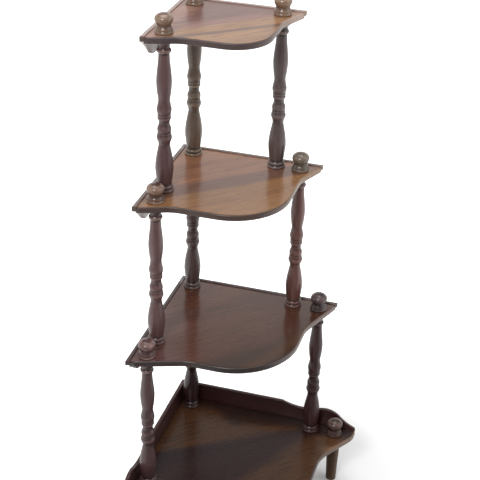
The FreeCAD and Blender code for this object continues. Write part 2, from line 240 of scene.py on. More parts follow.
def front_line(index, start):
    """Plan points of a shelf's front from its end on the right wall to the line halving the corner.

    A straight taper, a hollow tangent to it and to a stretch level with the wall, then the bow
    tangent to that stretch. The bottom shelf starts with the arc of its ear.
    """
    tip, waist, bow, hollow = TIPS[index], WAISTS[index], BOWS[index], HOLLOWS[index]
    slope = math.atan(TAPERS[index])
    runs = []
    if index == len(TIPS) - 1:
        centre = tip - math.sqrt(EAR_RADIUS ** 2 - EAR_CENTRE ** 2)
        first = (start, centre + math.sqrt(EAR_RADIUS ** 2 - (EAR_CENTRE - start) ** 2))
        outermost = (EAR_CENTRE, centre + EAR_RADIUS)
        taper = (EAR_CENTRE + EAR_RADIUS * math.sin(slope), centre + EAR_RADIUS * math.cos(slope))
        runs.append(arc(first, outermost, taper, count=15))
    else:
        taper = (start, tip - start * math.tan(slope))
    corner = taper[0] + (taper[1] - waist) / math.tan(slope)
    middle = np.array([corner + hollow * math.tan(slope / 2.0), waist + hollow])
    turn = np.linspace(slope, 0.0, 13)[:, None]
    bend = middle - hollow * np.hstack([np.sin(turn), np.cos(turn)])
    swing = np.linspace(0.0, math.pi / 4.0, 25)[:, None]
    round_part = (waist - bow) + bow * np.hstack([np.sin(swing), np.cos(swing)])
    level = straight(bend[-1], round_part[0], count=6)
    runs += [straight(taper, bend[0], count=8), bend, level, round_part]
    points = np.vstack(runs)
    keep = np.r_[True, np.linalg.norm(np.diff(points, axis=0), axis=1) > 1e-4]
    return points[keep]


def placed(points, flip=False):
    """Points given along the left wall, along the right wall and up, in the row's frame in metres.

    The walls stand at 45 degrees behind the object, so X is the difference of the two distances
    and Y runs against their sum. flip swaps the two walls.
    """
    points = np.asarray(points, float)
    out, along = (points[..., 1], points[..., 0]) if flip else (points[..., 0], points[..., 1])
    x = (along - out) * HALF_ROOT
    y = CORNER - (along + out) * HALF_ROOT
    return np.stack([x, y, points[..., 2]], axis=-1) * MM


# Meshes

def mesh_piece(name, points, blocks, marks, replaced, stain):
    """A smooth-shaded mesh that rides on the body and stands for a CAD node.

    blocks are arrays of quads or triangles. marks holds one number per point for each named
    attribute.
    """
    mesh = bpy.data.meshes.new(name)
    corners = np.concatenate([block.ravel() for block in blocks]).astype(np.int32)
    sizes = np.concatenate([np.full(len(block), block.shape[1]) for block in blocks])
    starts = np.r_[0, np.cumsum(sizes)[:-1]]
    mesh.vertices.add(len(points))
    mesh.vertices.foreach_set("co", np.asarray(points, np.float32).ravel())
    mesh.loops.add(len(corners))
    mesh.loops.foreach_set("vertex_index", corners)
    mesh.polygons.add(len(sizes))
    mesh.polygons.foreach_set("loop_start", starts.astype(np.int32))
    mesh.polygons.foreach_set("loop_total", sizes.astype(np.int32))
    mesh.polygons.foreach_set("use_smooth", np.ones(len(sizes), bool))
    for mark, values in marks.items():
        attribute = mesh.attributes.new(mark, "FLOAT", "POINT")
        attribute.data.foreach_set("value", np.asarray(values, np.float32))
    mesh.update(calc_edges=True)
    mesh.validate()
    mesh.materials.append(stain)
    piece = bpy.data.objects.new(name, mesh)
    bpy.context.scene.collection.objects.link(piece)
    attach(piece, "root")
    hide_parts(replaced)


def ring_faces(rings, around):
    """Quads between closed rings of points that lie one after another in the list."""
    ring = np.arange(rings - 1)[:, None] * around
    step = np.arange(around)[None, :]
    after = (step + 1) % around
    quads = np.stack([ring + step, ring + after, ring + around + after, ring + around + step], axis=-1)
    return quads.reshape(-1, 4)


def fan(ring_start, around, centre, outwards):
    """Triangles that close a ring with one point."""
    step = ring_start + np.arange(around)
    after = ring_start + (np.arange(around) + 1) % around
    middle = np.full(around, centre)
    order = [middle, step, after] if outwards else [middle, after, step]
    return np.stack(order, axis=-1)


# Turned pieces

class Outline:
    """The half outline of a turned piece, drawn from its foot up as radii and heights in millimetres.

    Every element is given by its own rise, from where the last one ended.
    """

    def __init__(self, radius):
        self.points = [np.array([[0.0, 0.0], [radius, 0.0]])]

    @property
    def end(self):
        return self.points[-1][-1]

    def line(self, radius, rise, count=3):
        """A straight stretch to a radius."""
        last = (radius, self.end[1] + rise)
        self.points.append(straight(self.end, last, count)[1:])
        return self

    def bead(self, radius, rise, middle, count=9):
        """An arc to a radius, round or hollow, that has the middle radius half way up."""
        first = self.end
        half = (middle, first[1] + rise / 2.0)
        self.points.append(arc(first, half, (radius, first[1] + rise), count)[1:])
        return self

    def curve(self, stops, count=7):
        """A smooth curve through stops, each a radius and a rise from the curve's foot.

        Each stretch is a cubic whose slope at a stop is that of the parabola through the stop
        and its two neighbours.
        """
        foot = self.end
        stops = np.vstack([foot, np.array(stops) + (0.0, foot[1])])
        run = np.r_[0.0, np.cumsum(np.linalg.norm(np.diff(stops, axis=0), axis=1))]
        slope = np.gradient(stops, run, axis=0, edge_order=2)
        place = np.unique(np.concatenate([np.linspace(a, b, count) for a, b in zip(run, run[1:])]))
        left = np.clip(np.searchsorted(run, place, side="right") - 1, 0, len(run) - 2)
        span = run[left + 1] - run[left]
        t = ((place - run[left]) / span)[:, None]
        span = span[:, None]
        found = (
            (2 * t ** 3 - 3 * t ** 2 + 1) * stops[left] + (t ** 3 - 2 * t ** 2 + t) * span * slope[left]
            + (3 * t ** 2 - 2 * t ** 3) * stops[left + 1] + (t ** 3 - t ** 2) * span * slope[left + 1]
        )
        self.points.append(found[1:])
        return self

    def dome(self, rise, count=12):
        """A quarter of an ellipse up to the axis, short of its last point."""
        radius, base = self.end
        lift = np.linspace(0.0, math.pi / 2.0, count)[1:-1]
        self.points.append(np.column_stack([radius * np.cos(lift), base + rise * np.sin(lift)]))
        return self

    def closed(self, height):
        """The whole outline with its end on the axis at the given height."""
        return np.vstack(self.points + [np.array([[0.0, height]])])


def swelling(slim, full, length, shares):
    """Stops of a long curve, each from its share of the length and of the swell from slim to full."""
    return [(slim + (full - slim) * swell, length * share) for share, swell in shares]


def raised(stops, height):
    """The same stops, higher up."""
    return [(radius, rise + height) for radius, rise in stops]


def crest(outline):
    """How far each point of an outline stands out of the radius averaged over the crest span.

    Near the axis, where a knob or a foot closes, it fades to nothing.
    """
    radius, height = outline[:, 0], outline[:, 1]
    order = np.argsort(height, kind="stable")
    even = np.arange(0.0, height.max(), CREST_STEP)
    level = np.interp(even, height[order], radius[order])
    reach = int(CREST_SPAN / CREST_STEP)
    padded = np.pad(level, reach // 2, mode="edge")
    smooth = np.convolve(padded, np.ones(reach + 1) / (reach + 1), mode="valid")
    off_axis = np.clip(radius / CLOSING_RADIUS - 1.0, 0.0, 1.0)
    return (radius - np.interp(height, even, smooth)) * off_axis


def turned_piece(node, outline, stain):
    """A surface of revolution: each outline point swept round the upright axis of the CAD node.

    Point (radius, height) goes to (radius cos t, radius sin t, height) for t round the circle.
    """
    low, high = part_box(node)
    place = ((low.x + high.x) / 2.0, (low.y + high.y) / 2.0, low.z)
    around = TURNED_POINTS
    turn = np.linspace(0.0, 2.0 * math.pi, around, endpoint=False)
    body = outline[1:-1]
    x = place[0] + body[:, :1] * MM * np.cos(turn)
    y = place[1] + body[:, :1] * MM * np.sin(turn)
    z = np.broadcast_to(place[2] + body[:, 1:] * MM, x.shape)
    points = np.stack([x, y, z], axis=-1).reshape(-1, 3)
    foot = [place[0], place[1], place[2] + outline[0, 1] * MM]
    head = [place[0], place[1], place[2] + outline[-1, 1] * MM]
    points = np.vstack([points, foot, head])
    rings = len(body)
    faces = [
        ring_faces(rings, around),
        fan(0, around, rings * around, False),
        fan((rings - 1) * around, around, rings * around + 1, True),
    ]
    stands_out = crest(outline)
    marks = {"crest": np.r_[np.repeat(stands_out[1:-1], around), 0.0, 0.0]}
    mesh_piece(node + "_turning", points, faces, marks, node, stain)


def post_outline(length):
    """Two foot rings, a long bulb, beads, a collar, a tulip, a slim vase, a top bead and a flange."""
    below_tulip = (
        FOOT_HEIGHT + RING_HEIGHT + BULB_HEIGHT + BEAD_HEIGHT + FILLET_HEIGHT + FILLET_BEVEL
        + SWELL_HEIGHT + COVE_HEIGHT + 2.0 * COLLAR_HEIGHT
    )
    vase_length = length - below_tulip - TULIP_HEIGHT - TOP_BEAD_HEIGHT - TOP_COVE_HEIGHT - FLANGE_HEIGHT
    bulb = swelling(BULB_FOOT_RADIUS, BULB_RADIUS, BULB_HEIGHT, BULB_RISE)
    bulb += swelling(BULB_NECK_RADIUS, BULB_RADIUS, BULB_HEIGHT, BULB_FALL)
    tulip = swelling(TULIP_FOOT_RADIUS, TULIP_RADIUS, TULIP_HEIGHT, TULIP_RISE)
    tulip += swelling(VASE_NECK_RADIUS, TULIP_RADIUS, TULIP_HEIGHT, TULIP_FALL)
    vase = swelling(VASE_NECK_RADIUS, VASE_RADIUS, vase_length, VASE_RISE)
    vase += swelling(VASE_TOP_RADIUS, VASE_RADIUS, vase_length, VASE_FALL)
    outline = Outline(FOOT_FACE_RADIUS)
    outline.bead(FOOT_GROOVE_RADIUS, FOOT_HEIGHT, FOOT_RADIUS)
    outline.bead(BULB_FOOT_RADIUS, RING_HEIGHT, RING_RADIUS)
    outline.curve(bulb + [(BEAD_FOOT_RADIUS, BULB_HEIGHT)])
    outline.bead(FILLET_RADIUS, BEAD_HEIGHT, BEAD_RADIUS)
    outline.line(FILLET_RADIUS, FILLET_HEIGHT).line(GROOVE_RADIUS, FILLET_BEVEL)
    outline.bead(SWELL_TOP_RADIUS, SWELL_HEIGHT, SWELL_RADIUS)
    outline.bead(COLLAR_FOOT_RADIUS, COVE_HEIGHT, COVE_RADIUS)
    outline.bead(COLLAR_GROOVE_RADIUS, COLLAR_HEIGHT, COLLAR_RADIUS, count=7)
    outline.bead(TULIP_FOOT_RADIUS, COLLAR_HEIGHT, COLLAR_RADIUS, count=7)
    outline.curve(tulip + raised(vase, TULIP_HEIGHT))
    outline.line(TOP_BEAD_FOOT_RADIUS, 0.0, count=2)
    outline.bead(TOP_BEAD_FOOT_RADIUS, TOP_BEAD_HEIGHT, TOP_BEAD_RADIUS)
    outline.bead(FLANGE_FOOT_RADIUS, TOP_COVE_HEIGHT, TOP_COVE_RADIUS)
    outline.bead(FLANGE_FOOT_RADIUS, FLANGE_HEIGHT, FLANGE_RADIUS)
    return outline.closed(length)


def finial_outline():
    """A rounded foot, a bell, a short neck and a flattened knob with a domed top."""
    bell = swelling(FINIAL_NECK_RADIUS, FINIAL_BELL_RADIUS, FINIAL_BELL_HEIGHT, BELL_FALL)
    knob = swelling(FINIAL_NECK_RADIUS, KNOB_RADIUS, KNOB_UNDER_HEIGHT, KNOB_RISE)
    outline = Outline(FINIAL_FACE_RADIUS)
    outline.bead(FINIAL_BELL_RADIUS, FINIAL_FOOT_HEIGHT, FINIAL_FOOT_RADIUS)
    outline.curve(bell + raised(knob, FINIAL_BELL_HEIGHT))
    outline.dome(KNOB_DOME_HEIGHT)
    return outline.closed(FINIAL_FOOT_HEIGHT + FINIAL_BELL_HEIGHT + KNOB_UNDER_HEIGHT + KNOB_DOME_HEIGHT)


def leg_outline(length):
    """A straight taper with a softened edge at the floor."""
    outline = Outline(LEG_FOOT_RADIUS - LEG_FOOT_ROUND)
    outline.line(LEG_FOOT_RADIUS, LEG_FOOT_ROUND, count=2)
    outline.line(LEG_TOP_RADIUS, length - LEG_FOOT_ROUND, count=12)
    return outline.closed(length)


# Boards

def inset_vectors(plan, radii):
    """For each point of a clockwise outline, the move that sets both its edges in by their radii.

    radii holds one rounding radius for the edge that leaves each point. The move is the sum of
    the two outward normals, weighted so that it reaches each edge's own radius.
    """
    after = np.roll(plan, -1, axis=0) - plan
    after /= np.linalg.norm(after, axis=1)[:, None]
    normal = np.column_stack([-after[:, 1], after[:, 0]])
    before = np.roll(normal, 1, axis=0)
    near, far = radii, np.roll(radii, 1)
    cosine = np.clip((normal * before).sum(1), -1.0, 1.0)
    bend = np.maximum(1.0 - cosine ** 2, 1e-9)
    even = (near / (1.0 + cosine))[:, None] * (normal + before)
    uneven = ((near - far * cosine) / bend)[:, None] * normal
    uneven += ((far - near * cosine) / bend)[:, None] * before
    return np.where((near == far)[:, None], even, uneven)


def bands_across(first, count, upwards):
    """Faces that fill a ring symmetric about its point 0: each joins two points to their mirrors."""
    step = np.arange(1, count // 2 - 1)
    quads = np.stack([step, step + 1, count - step - 1, count - step], axis=-1)
    half = count // 2
    ends = np.array([[0, 1, count - 1], [half - 1, half, half + 1]])
    if upwards:
        quads, ends = quads[:, ::-1], ends[:, ::-1]
    return [quads + first, ends + first]


def shelf_piece(index, stain):
    """A shelf board with rounded front arrises and all but sharp ones along the walls.

    Rings of points go from the top face over the arris, down the edge and back under, each
    being the outline set in by the radius less its sine part. The first ring and the last lie
    flat inside the arris. The flat faces are bands from side to side.
    """
    name = TIERS[index] + "_shelf"
    low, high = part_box(name)
    bottom, top = low.z / MM, high.z / MM
    wall = BOARD_THICKNESS
    right = front_line(index, wall)
    back = straight((wall, wall), (wall, right[0, 1] - TIP_CLEARANCE), count=12)
    half = np.vstack([back, right])
    plan = np.vstack([half, half[-2:0:-1, ::-1]])
    count = len(plan)
    on_front = np.zeros(count, bool)
    on_front[len(back):len(back) + 2 * len(right) - 2] = True
    radii = np.where(on_front, FRONT_ROUNDING, BACK_ROUNDING)
    height = np.maximum(radii, np.roll(radii, 1))
    inset = inset_vectors(plan, radii)
    holding = plan - inset_vectors(plan, radii + ARRIS_MARGIN)
    turn = np.linspace(0.0, math.pi / 2.0, 6)
    outlines = np.concatenate([holding[None], plan - inset * (1.0 - np.sin(turn))[:, None, None]])
    drops = np.concatenate([0.0 * height[None], height * (1.0 - np.cos(turn))[:, None]])
    upper = np.dstack([outlines, top - drops])
    lower = np.dstack([outlines, bottom + drops])[::-1]
    rings = np.concatenate([upper, lower])
    marks = np.r_[0.0, turn / turn[-1]]
    points = placed(rings.reshape(-1, 3))
    faces = [ring_faces(len(rings), count)]
    faces += bands_across(0, count, True) + bands_across((len(rings) - 1) * count, count, False)
    edge = np.repeat(np.r_[marks, marks[::-1]], count)
    mesh_piece(name + "_board", points, faces, {"edge": edge}, name, stain)


def wall_board(node, index, flip, stations, upper, lower, end_slope, radius, stain):
    """A board on a back edge: a rounded rectangle carried along the wall.

    At each station the section runs from the wall face to the inner face and from the lower
    to the upper edge. Stations lean from a 45 degree mitre at the corner to the slant of the
    shelf's front at the tip. The last rings draw in to round the end.
    """
    tip = TIPS[index]
    quarter = np.linspace(0.0, math.pi / 2.0, 4)
    corner_x = np.concatenate([np.sin(quarter), np.cos(quarter), -np.sin(quarter), -np.cos(quarter)])
    corner_z = np.concatenate([np.cos(quarter), -np.sin(quarter), -np.cos(quarter), np.sin(quarter)])
    side_x = np.repeat([1.0, 1.0, -1.0, -1.0], 4)
    side_z = np.repeat([1.0, -1.0, -1.0, 1.0], 4)
    half = BOARD_THICKNESS / 2.0
    turn = np.linspace(0.0, END_TURN, 4)
    last = stations[-1]
    plain = stations[stations < last - radius]
    along = np.r_[plain, last - radius + radius * np.sin(turn)][:, None]
    inset = np.r_[np.zeros(len(plain)), radius * (1.0 - np.cos(turn))][:, None]
    z_top, z_low = upper(along) - inset, lower(along) + inset
    rounded = radius - inset
    x = half + side_x * (half - radius) + corner_x * rounded
    z = (z_top + z_low) / 2.0 + side_z * ((z_top - z_low) / 2.0 - rounded) + corner_z * rounded
    lean = (1.0 - along / tip) - along / tip * end_slope
    rings = np.stack([x, along + x * lean, z], axis=-1)
    around = len(corner_x)
    points = np.vstack([rings.reshape(-1, 3), rings[0].mean(axis=0), rings[-1].mean(axis=0)])
    points = placed(points, flip)
    faces = [
        ring_faces(len(rings), around),
        fan(0, around, len(rings) * around, False),
        fan((len(rings) - 1) * around, around, len(rings) * around + 1, True),
    ]
    if flip:
        faces = [block[:, ::-1] for block in faces]
    end_grain = np.zeros(len(rings))
    end_grain[1 - len(turn):] = 1.0
    marks = {"edge": np.r_[np.repeat(end_grain, around), 0.0, 1.0]}
    mesh_piece(node + "_board", points, faces, marks, node, stain)


def cut_end(tip, turn, foot):
    """The cut of a rail's end as (along, up) points from the foot of the cut to the tip.

    An arc leaves the lower edge level and ends at the slant of the chord above it, and a hollow arc
    goes on from there to the tip. An arc over a chord c that turns by an angle t from it bows out
    by c / 2 times the tangent of t / 2.
    """
    tip, turn, foot = (np.array(point) for point in (tip, turn, foot))

    def bowed(first, last, bow):
        chord = last - first
        across = np.array([-chord[1], chord[0]]) / np.linalg.norm(chord)
        return arc(first, (first + last) / 2.0 + across * bow, last, count=14)

    lower, upper = turn - foot, tip - turn
    lower_tilt = math.atan2(lower[1], lower[0])
    upper_tilt = math.atan2(upper[1], upper[0])
    round_bow = -np.linalg.norm(lower) / 2.0 * math.tan(lower_tilt / 2.0)
    hollow_bow = np.linalg.norm(upper) / 2.0 * math.tan(lower_tilt - upper_tilt / 2.0)
    return np.vstack([bowed(foot, turn, round_bow), bowed(turn, tip, hollow_bow)[1:]])


def rail_pieces(index, stains):
    """The two rails of a shelf: level, with a cut that rises in a round and a hollow to the tip."""
    node = TIERS[index] + "_{}_rail"
    low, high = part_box(node.format("left"))
    top, bottom = high.z / MM, low.z / MM
    tip = TIPS[index]
    foot = (tip - RAIL_CUT_LENGTH, bottom)
    turn = (foot[0] + RAIL_ROUND_LENGTH, bottom + RAIL_ROUND_HEIGHT)
    cut = cut_end((tip, top - RAIL_END_HEIGHT), turn, foot)
    stations = np.r_[np.linspace(0.0, foot[0], 10)[:-1], cut[:, 0]]

    def upper(along):
        return top

    def lower(along):
        return np.interp(along, cut[:, 0], cut[:, 1])

    for side in SIDES:
        wall_board(
            node.format(side), index, side == "left", stations, upper, lower,
            TAPERS[index], RAIL_ROUNDING, stains[side],
        )


def gallery_pieces(stains):
    """The two gallery boards: level, a dip, a lobe and a tail down to the ear of the shelf."""
    index = len(TIPS) - 1
    node = "bottom_{}_gallery"
    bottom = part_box(node.format("left"))[0].z / MM
    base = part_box("bottom_shelf")[1].z / MM
    tip = TIPS[index]
    marks = (GALLERY_SHOULDER, GALLERY_DIP, GALLERY_LOBE_START, GALLERY_LOBE, GALLERY_TAIL, (0.0, BOARD_LIP))
    shoulder, dip, lobe_start, lobe, tail, end = [np.array([tip - inward, base + up]) for inward, up in marks]
    chord = end - tail
    across = np.array([-chord[1], chord[0]]) / np.linalg.norm(chord)
    sag = (tail + end) / 2.0 - across * GALLERY_TAIL_SAG
    profile = np.vstack([
        [(0.0, shoulder[1])],
        arc(shoulder, dip, lobe_start, count=20),
        arc(lobe_start, lobe, tail, count=16)[1:],
        arc(tail, sag, end, count=14)[1:],
    ])
    stations = np.r_[np.linspace(0.0, shoulder[0], 8)[:-1], profile[1:, 0]]
    centre = tip - math.sqrt(EAR_RADIUS ** 2 - EAR_CENTRE ** 2)
    inner_tip = centre + math.sqrt(EAR_RADIUS ** 2 - (EAR_CENTRE - BOARD_THICKNESS) ** 2)
    slope = (tip - inner_tip) / BOARD_THICKNESS

    def upper(along):
        return np.interp(along, profile[:, 0], profile[:, 1])

    def lower(along):
        return bottom

    for side in SIDES:
        wall_board(
            node.format(side), index, side == "left", stations, upper, lower,
            slope, GALLERY_ROUNDING, stains[side],
        )


# Shader sums written as Python expressions

class Amount:
    """A number that varies over a surface: a socket with the arithmetic signs."""

    def __init__(self, finish, socket):
        self.finish = finish
        self.socket = socket

    def _math(self, operation, *values):
        return self.finish.node("ShaderNodeMath", {"operation": operation}, *values)

    def __add__(self, other):
        return self._math("ADD", self, other)

    def __radd__(self, other):
        return self._math("ADD", other, self)

    def __sub__(self, other):
        return self._math("SUBTRACT", self, other)

    def __rsub__(self, other):
        return self._math("SUBTRACT", other, self)

    def __mul__(self, other):
        return self._math("MULTIPLY", self, other)

    def __rmul__(self, other):
        return self._math("MULTIPLY", other, self)

    def __truediv__(self, other):
        return self._math("DIVIDE", self, other)

    def __pow__(self, other):
        return self._math("POWER", self, other)

    def clipped(self):
        """The amount held between 0 and 1."""
        return self._math("MAXIMUM", self._math("MINIMUM", self, 1.0), 0.0)

    def sine(self):
        """The sine of the amount."""
        return self._math("SINE", self)

    def size(self):
        """The amount without its sign."""
        return self._math("ABSOLUTE", self)

    def between(self, low, high):
        """0 below low, 1 above high and a smooth step between, which falls where high is below low."""
        settings = {"interpolation_type": "SMOOTHSTEP"}
        return self.finish.node("ShaderNodeMapRange", settings, self, low, high, 0.0, 1.0)


class Finish:
    """The nodes of a material or of the surroundings, built up by calls."""

    def __init__(self, owner, shader):
        owner.use_nodes = True
        self.owner = owner
        self.nodes = owner.node_tree.nodes
        self.links = owner.node_tree.links
        self.shader = self.nodes[shader]

    def fill(self, socket, value):
        """Link a socket or set its own value."""
        if isinstance(value, Amount):
            self.links.new(value.socket, socket)
        else:
            socket.default_value = value

    def node(self, kind, settings, *values, out=None, **named):
        """A node of a kind: settings first, then values by place or by name; gives one output.

        The output is the first one, or the one that out names.
        """
        made = self.nodes.new(kind)
        for key, value in settings.items():
            setattr(made, key, value)
        shown = [s for s in made.inputs if s.enabled]
        for socket, value in zip(shown, values):
            self.fill(socket, value)
        for key, value in named.items():
            title = key.replace("_", " ")
            self.fill(next(s for s in shown if s.name == title), value)
        given = [s for s in made.outputs if s.enabled and out in (None, s.name)]
        return Amount(self, given[0])

    def blend(self, share, first, second):
        """Two colours mixed by a share."""
        first, second = (c if isinstance(c, Amount) else (*c, 1.0) for c in (first, second))
        return self.node("ShaderNodeMix", {"data_type": "RGBA"}, share, first, second)

    def layered(self, tone, layers):
        """A colour with others laid over it one by one, each with its share."""
        for over, share in layers:
            tone = self.blend(share, tone, over)
        return tone

    def mapped(self, where, scale=UNSCALED, turn=STILL, shift=STILL):
        """A place stretched, then turned, then shifted."""
        return self.node("ShaderNodeMapping", {}, where, Location=shift, Rotation=turn, Scale=scale)

    def place(self, scale=UNSCALED, turn=STILL, shift=STILL):
        """Object coordinates in metres, first turned, then stretched, then shifted."""
        coordinates = self.node("ShaderNodeTexCoord", {}, out="Object")
        if any(turn):
            coordinates = self.mapped(coordinates, turn=turn)
        return self.mapped(coordinates, scale, shift=shift)

    def axes(self, where):
        """The three parts of a vector."""
        return [self.node("ShaderNodeSeparateXYZ", {}, where, out=part) for part in "XYZ"]

    def noise(self, where, detail=2.0, roughness=0.5):
        """Smooth noise from 0 to 1 at a place."""
        return self.node("ShaderNodeTexNoise", {}, where, Scale=1.0, Detail=detail, Roughness=roughness)

    def mark(self, name):
        """A number that the mesh carries at each point."""
        return self.node("ShaderNodeAttribute", {"attribute_name": name}, out="Fac")

    def ray(self, kind):
        """1 where light is traced for a kind of ray, such as the camera's, and 0 elsewhere."""
        return self.node("ShaderNodeLightPath", {}, out="Is " + kind + " Ray")

    def surface(self, **values):
        """Set or link the shader's sockets."""
        for key, value in values.items():
            self.fill(self.shader.inputs[key.replace("_", " ")], value)


def colour(red, green, blue):
    """A colour given in screen values from 0 to 255, as linear light."""
    shares = np.array([red, green, blue]) / 255.0
    linear = np.where(shares <= 0.04045, shares / 12.92, ((shares + 0.055) / 1.055) ** 2.4)
    return tuple(float(v) for v in linear)


def tones(*screen_values):
    """Several colours given in screen values."""
    return [colour(*values) for values in screen_values]


def look(*wood, **settings):
    """The settings of a finish, with the tones of its wood given in screen values."""
    return {"wood": tones(*wood), **settings}


def deeper(tone, share):
    """A colour brought down to a share of its light."""
    return tuple(v * share for v in tone)


def painted(name):
    """The finish of a new material."""
    return Finish(bpy.data.materials.new(name), "Principled BSDF")


def grain(finish, upright, slant, shift):
    """The pattern of the wood: wide streaks, bands, growth lines, fibres and pores, each from 0 to 1.

    It runs along X, or along Z where it is upright. The coordinates are squeezed along the grain, so
    every spot of noise is a long streak. The growth lines are a sine across the grain whose phase is
    pushed about by slow noise.
    """
    def stretched(across, along):
        if upright:
            return finish.place((across, across, along), (slant, 0.0, 0.0), shift)
        return finish.place((along, across, across), (0.0, 0.0, slant), shift)

    streaks = finish.noise(stretched(across=9.0, along=1.1), detail=3.0, roughness=0.55)
    bands = finish.noise(stretched(across=26.0, along=1.6))
    warp = finish.noise(stretched(across=5.0, along=1.4), detail=1.0)
    sideways = finish.axes(stretched(across=1.0, along=0.12))[0 if upright else 1]
    lines = (sideways * 520.0 + warp * 34.0).sine() * 0.5 + 0.5
    fibres = finish.noise(stretched(across=620.0, along=11.0), roughness=0.6)
    pores = finish.noise(stretched(across=900.0, along=34.0), detail=1.0).between(0.66, 0.74)
    return streaks, bands, lines, fibres, pores


def level_across(finish, middle, slope, waver):
    """How far a point lies behind a line that runs along X over the board, in metres.

    The line crosses X = 0 at the middle and moves back by the slope for every metre to the right.
    Noise drawn out along the line makes it waver.
    """
    x, y, z = finish.axes(finish.place())
    drawn_out = finish.place((5.0, 24.0, 24.0), (0.0, 0.0, -slope))
    wander = finish.noise(drawn_out, detail=3.0, roughness=0.6) - 0.5
    return y - middle - x * slope + wander * waver


def belt(finish, middle, slope, half_width, soft, waver):
    """1 within half a width of a line over the board, fading to 0 over the soft distance."""
    away = level_across(finish, middle, slope, waver).size()
    return (half_width + soft - away).between(0.0, soft)


def behind(finish, middle, slope, soft, waver):
    """1 behind a line over the board and 0 in front of it, fading over the soft distance."""
    return level_across(finish, middle, slope, waver).between(-soft / 2.0, soft / 2.0)


def rightwards(finish, start, soft):
    """1 to the right of a place along X and 0 to its left, fading over the soft distance."""
    return finish.axes(finish.place())[0].between(start, start + soft)


def beside_wall(finish, side, width, soft):
    """1 up to a width away from a wall, fading to 0 over the soft distance."""
    x, y, z = finish.axes(finish.place())
    towards = 1.0 if side == "right" else -1.0
    away = (CORNER * MM - y - x * towards) * HALF_ROOT
    return (width + soft - away).between(0.0, soft)


def board_finish(name, wood, edge_tones, stains=None, slant=0.0, shift=STILL, rough=0.2, coat=0.5,
                 rubbed_from=1.0):
    """Dark stain under lacquer on a flat board, with the grain at a slant to X.

    wood holds the deep, the middle and the light tone. stains gives colours and their shares laid
    over the wood: patches of other colour, painted shade and reflection of the gallery on the bottom
    shelf, and a painted highlight on a rail's lip. The edge is end grain: it drank more stain and
    shines little. edge_tones are its tone and a paler one, painted light from the right on the edge
    to the right of rubbed_from metres along X.
    """
    finish = painted(name)
    deep, middle, light = wood
    streaks, bands, lines, fibres, pores = grain(finish, False, slant, shift)
    spots = finish.place((20.0, 150.0, 150.0), (0.0, 0.0, slant - 0.1), shift)
    flecks = finish.noise(spots, detail=3.0, roughness=0.65)
    edge = finish.mark("edge").between(0.0, 0.35)
    # painted light from the right on the edges
    rubbed = rightwards(finish, rubbed_from, 0.16) * (0.75 + bands * 0.25)
    tone = finish.blend(streaks.between(0.36, 0.62), middle, light)
    tone = finish.layered(tone, stains(finish) if stains else [])
    tone = finish.layered(tone, [
        (deep, bands.between(0.5, 0.72) * 0.3),
        (deep, lines * bands * 0.25),
        (deep, flecks.between(0.46, 0.68) * 0.36),
        (deep, (fibres - 0.35).clipped() * 0.8),
        (deeper(deep, 0.35), pores * 0.5),
        # the edge tone, paler to the right with painted light
        (finish.blend(rubbed, *edge_tones), edge * (0.98 - fibres * 0.2)),
    ])
    smears = finish.noise(finish.place((7.0, 7.0, 7.0)), detail=3.0, roughness=0.6)
    roughness = smears * 0.10 + fibres * 0.04 + edge * 0.15 + rough
    waves = finish.noise(finish.place((55.0, 55.0, 55.0)), detail=1.0)
    height = fibres * 0.5 - pores * 0.8 + waves * 1.2
    bump = finish.node("ShaderNodeBump", {}, Strength=0.14, Distance=0.0006, Height=height)
    finish.surface(
        Base_Color=tone, Roughness=roughness, Normal=bump,
        Coat_Weight=(1.0 - edge * 0.6) * coat, Coat_Roughness=0.1, Coat_IOR=1.5,
    )
    return finish.owner


def turned_finish(name, wood, shift=STILL, rough=0.3, coat=0.5, hollows=0.85):
    """Dark stain under lacquer on a turned piece, with the grain upright.

    wood holds the deep, the middle, the light and the crest tone. Each hollow between the beads is
    darkened with painted shade, and the crests of the beads are lighter with wear and painted highlight.
    """
    finish = painted(name)
    deep, middle, light, crest_wear_and_highlight = wood
    streaks, bands, lines, fibres, pores = grain(finish, True, 0.03, shift)
    patches = finish.noise(finish.place((60.0, 60.0, 60.0)), detail=3.0, roughness=0.6).between(0.42, 0.7)
    crest_mark = finish.mark("crest")
    tone = finish.blend(streaks.between(0.35, 0.65), middle, light)
    tone = finish.layered(tone, [
        (deep, bands.between(0.42, 0.72) * 0.8),
        (deep, lines * 0.22),
        (deep, (fibres - 0.35).clipped() * 0.8),
        (deeper(deep, 0.4), pores * 0.5),
        # painted shade in each hollow between the beads
        (deeper(deep, 0.4), (crest_mark * -1.8).clipped() * hollows),
        # wear and painted highlight on the crests of the beads
        (crest_wear_and_highlight, crest_mark.between(0.07, 0.7) * (patches * 0.5 + 0.33)),
    ])
    roughness = streaks * 0.08 + fibres * 0.06 + rough
    height = fibres * 0.6 - pores * 0.8
    bump = finish.node("ShaderNodeBump", {}, Strength=0.2, Distance=0.0005, Height=height)
    finish.surface(
        Base_Color=tone, Roughness=roughness, Normal=bump, IOR=1.4,
        Coat_Weight=coat, Coat_Roughness=0.12, Coat_IOR=1.5,
    )
    return finish.owner


def steel_finish():
    """Bright drawn steel of the hidden screws and pins, faintly lined along the shank."""
    finish = painted("screw_steel")
    lined = finish.noise(finish.place((900.0, 900.0, 60.0)), roughness=0.6)
    tone = finish.blend(lined, colour(120, 120, 118), colour(178, 176, 170))
    finish.surface(Base_Color=tone, Metallic=1.0, Roughness=lined * 0.2 + 0.28)
    return finish.owner
